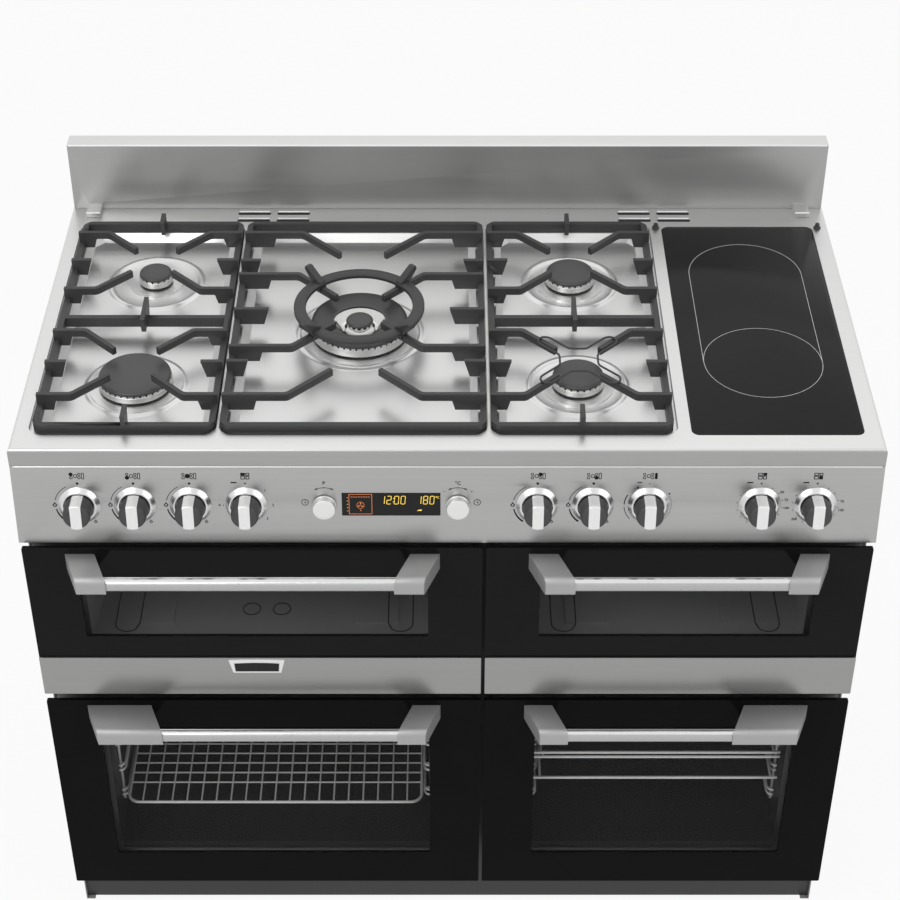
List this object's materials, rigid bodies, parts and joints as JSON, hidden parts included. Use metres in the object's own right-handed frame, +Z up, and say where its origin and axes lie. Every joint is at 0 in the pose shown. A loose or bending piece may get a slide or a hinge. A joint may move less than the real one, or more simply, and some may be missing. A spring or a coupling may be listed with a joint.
{
  "type": "range cooker",
  "caption": "Free-standing dual fuel range cooker: gas hob with a ceramic plate, leaning control panel with knobs, drop-down oven doors with bar handles, low splashback.",
  "frame": {"origin": "middle of the footprint at floor level, handles included", "axes": "+X to the cooker's right seen from its front, +Y to the wall behind, +Z up"},
  "size_m": [1.1, 0.679, 1.005],
  "materials": {
    "brushed_steel": "brushed",
    "satin_trim": "satin plated",
    "dark_glass": "gloss",
    "door_glass": "gloss",
    "cast_aluminium": "cast",
    "black_enamel": "satin enamel",
    "oven_enamel": "speckled enamel",
    "cast_iron": "matt enamel",
    "chrome_wire": "plated wire",
    "black_frame": "satin paint",
    "grey_casing": "satin paint",
    "zinc_sheet": "galvanised",
    "seal_rubber": "matt",
    "black_plastic": "matt",
    "element_steel": "oxidised",
    "brass": "turned",
    "spindle_brass": "turned"
  },
  "bodies": {
    "cooker": {"back_panel": "zinc_sheet", "base_tray": "black_frame", "burner_bases": "cast_aluminium", "burner_caps": "black_enamel", "burner_heads": "cast_aluminium", "ceramic_glass": "dark_glass", "control_panel": "brushed_steel", "display_window": "dark_glass", "door_seals": "seal_rubber", "fan_motor": "zinc_sheet", "feet": "black_plastic", "front_frame": "black_frame", "gas_manifold": "brass", "heating_elements": "element_steel", "hob_top": "brushed_steel", "knob_bezels": "satin_trim", "lower_oven_cavities": "oven_enamel", "oven_racks": "chrome_wire", "rack_runners": "chrome_wire", "rotary_switches": "black_plastic", "side_panel_left": "grey_casing", "side_panel_right": "grey_casing", "splashback": "brushed_steel", "upper_oven_cavities": "oven_enamel"},
    "grill_door": {"grill_door_glass": "door_glass", "grill_door_liner": "zinc_sheet", "grill_door_handle": "satin_trim", "grill_door_strip": "brushed_steel"},
    "small_oven_door": {"small_oven_door_glass": "door_glass", "small_oven_door_liner": "zinc_sheet", "small_oven_door_handle": "satin_trim", "small_oven_door_strip": "brushed_steel"},
    "main_oven_door": {"main_oven_door_glass": "door_glass", "main_oven_door_liner": "zinc_sheet", "main_oven_door_handle": "satin_trim"},
    "tall_oven_door": {"tall_oven_door_glass": "door_glass", "tall_oven_door_liner": "zinc_sheet", "tall_oven_door_handle": "satin_trim"},
    "gas_spindle_1": {"gas_spindle_1": "spindle_brass"},
    "gas_knob_1": {"gas_knob_1": "satin_trim"},
    "gas_spindle_2": {"gas_spindle_2": "spindle_brass"},
    "gas_knob_2": {"gas_knob_2": "satin_trim"},
    "gas_spindle_3": {"gas_spindle_3": "spindle_brass"},
    "gas_knob_3": {"gas_knob_3": "satin_trim"},
    "gas_spindle_4": {"gas_spindle_4": "spindle_brass"},
    "gas_knob_4": {"gas_knob_4": "satin_trim"},
    "gas_spindle_5": {"gas_spindle_5": "spindle_brass"},
    "gas_knob_5": {"gas_knob_5": "satin_trim"},
    "left_oven_knob": {"left_oven_knob": "satin_trim"},
    "hotplate_knob": {"hotplate_knob": "satin_trim"},
    "upper_right_oven_knob": {"upper_right_oven_knob": "satin_trim"},
    "lower_right_oven_knob": {"lower_right_oven_knob": "satin_trim"},
    "programme_knob": {"programme_knob": "satin_trim"},
    "temperature_knob": {"temperature_knob": "satin_trim"},
    "pan_support_left": {"pan_support_left": "cast_iron"},
    "pan_support_centre": {"pan_support_centre": "cast_iron"},
    "pan_support_right": {"pan_support_right": "cast_iron"},
    "wok_ring": {"wok_ring": "cast_iron"},
    "wire_trivet": {"wire_trivet": "chrome_wire"},
    "oven_fan": {"oven_fan": "cast_aluminium"}
  },
  "joints": [
    {"name": "grill_door_hinge", "type": "hinge", "parent": "cooker", "child": "grill_door", "pos_m": [0, -0.2755, 0.51], "axis": [1, 0, 0], "range_deg": [0, 90], "stiffness_Nm_per_rad": 3, "springref_deg": -20.05},
    {"name": "small_oven_door_hinge", "type": "hinge", "parent": "cooker", "child": "small_oven_door", "pos_m": [0, -0.2755, 0.51], "axis": [1, 0, 0], "range_deg": [0, 90], "stiffness_Nm_per_rad": 2.6, "springref_deg": -20.05},
    {"name": "main_oven_door_hinge", "type": "hinge", "parent": "cooker", "child": "main_oven_door", "pos_m": [0, -0.2755, 0.122], "axis": [1, 0, 0], "range_deg": [0, 90], "stiffness_Nm_per_rad": 6, "springref_deg": -20.05},
    {"name": "tall_oven_door_hinge", "type": "hinge", "parent": "cooker", "child": "tall_oven_door", "pos_m": [0, -0.2755, 0.122], "axis": [1, 0, 0], "range_deg": [0, 90], "stiffness_Nm_per_rad": 5, "springref_deg": -20.05},
    {"name": "gas_push_1", "type": "slide", "parent": "cooker", "child": "gas_spindle_1", "axis": [0, 0.9925, -0.1219], "range_m": [0, 0.004], "stiffness_N_per_m": 700, "springref_m": -0.002},
    {"name": "gas_turn_1", "type": "hinge", "parent": "gas_spindle_1", "child": "gas_knob_1", "pos_m": [-0.467, -0.2745, 0.817], "axis": [0, -0.9925, 0.1219], "range_deg": [0, 210]},
    {"name": "gas_push_2", "type": "slide", "parent": "cooker", "child": "gas_spindle_2", "axis": [0, 0.9925, -0.1219], "range_m": [0, 0.004], "stiffness_N_per_m": 700, "springref_m": -0.002},
    {"name": "gas_turn_2", "type": "hinge", "parent": "gas_spindle_2", "child": "gas_knob_2", "pos_m": [-0.3964, -0.2745, 0.817], "axis": [0, -0.9925, 0.1219], "range_deg": [0, 210]},
    {"name": "gas_push_3", "type": "slide", "parent": "cooker", "child": "gas_spindle_3", "axis": [0, 0.9925, -0.1219], "range_m": [0, 0.004], "stiffness_N_per_m": 700, "springref_m": -0.002},
    {"name": "gas_turn_3", "type": "hinge", "parent": "gas_spindle_3", "child": "gas_knob_3", "pos_m": [-0.3258, -0.2745, 0.817], "axis": [0, -0.9925, 0.1219], "range_deg": [0, 210]},
    {"name": "gas_push_4", "type": "slide", "parent": "cooker", "child": "gas_spindle_4", "axis": [0, 0.9925, -0.1219], "range_m": [0, 0.004], "stiffness_N_per_m": 700, "springref_m": -0.002},
    {"name": "gas_turn_4", "type": "hinge", "parent": "gas_spindle_4", "child": "gas_knob_4", "pos_m": [0.11402, -0.2745, 0.817], "axis": [0, -0.9925, 0.1219], "range_deg": [0, 210]},
    {"name": "gas_push_5", "type": "slide", "parent": "cooker", "child": "gas_spindle_5", "axis": [0, 0.9925, -0.1219], "range_m": [0, 0.004], "stiffness_N_per_m": 700, "springref_m": -0.002},
    {"name": "gas_turn_5", "type": "hinge", "parent": "gas_spindle_5", "child": "gas_knob_5", "pos_m": [0.18462, -0.2745, 0.817], "axis": [0, -0.9925, 0.1219], "range_deg": [0, 210]},
    {"name": "left_oven_knob_turn", "type": "hinge", "parent": "cooker", "child": "left_oven_knob", "pos_m": [-0.2552, -0.2745, 0.817], "axis": [0, -0.9925, 0.1219], "range_deg": [-270, 0]},
    {"name": "hotplate_knob_turn", "type": "hinge", "parent": "cooker", "child": "hotplate_knob", "pos_m": [0.25522, -0.2745, 0.817], "axis": [0, -0.9925, 0.1219], "range_deg": [-290, 0]},
    {"name": "upper_right_oven_knob_turn", "type": "hinge", "parent": "cooker", "child": "upper_right_oven_knob", "pos_m": [0.3964, -0.2745, 0.817], "axis": [0, -0.9925, 0.1219], "range_deg": [-270, 0]},
    {"name": "lower_right_oven_knob_turn", "type": "hinge", "parent": "cooker", "child": "lower_right_oven_knob", "pos_m": [0.467, -0.2745, 0.817], "axis": [0, -0.9925, 0.1219], "range_deg": [-270, 0]},
    {"name": "programme_knob_turn", "type": "hinge", "parent": "cooker", "child": "programme_knob", "pos_m": [-0.15608, -0.2745, 0.817], "axis": [0, -0.9925, 0.1219], "continuous": true},
    {"name": "temperature_knob_turn", "type": "hinge", "parent": "cooker", "child": "temperature_knob", "pos_m": [0.01332, -0.2745, 0.817], "axis": [0, -0.9925, 0.1219], "continuous": true},
    {"name": "pan_support_left_lift", "type": "slide", "parent": "cooker", "child": "pan_support_left", "axis": [0, 0, 1], "range_m": [0, 0.08]},
    {"name": "pan_support_centre_lift", "type": "slide", "parent": "cooker", "child": "pan_support_centre", "axis": [0, 0, 1], "range_m": [0, 0.08]},
    {"name": "pan_support_right_lift", "type": "slide", "parent": "cooker", "child": "pan_support_right", "axis": [0, 0, 1], "range_m": [0, 0.08]},
    {"name": "wok_ring_lift", "type": "slide", "parent": "pan_support_centre", "child": "wok_ring", "axis": [0, 0, 1], "range_m": [0, 0.06]},
    {"name": "wire_trivet_lift", "type": "slide", "parent": "pan_support_right", "child": "wire_trivet", "axis": [0, 0, 1], "range_m": [0, 0.06]},
    {"name": "oven_fan_spin", "type": "hinge", "parent": "cooker", "child": "oven_fan", "pos_m": [-0.25264, 0.184, 0.3025], "axis": [0, 1, 0], "continuous": true}
  ]
}
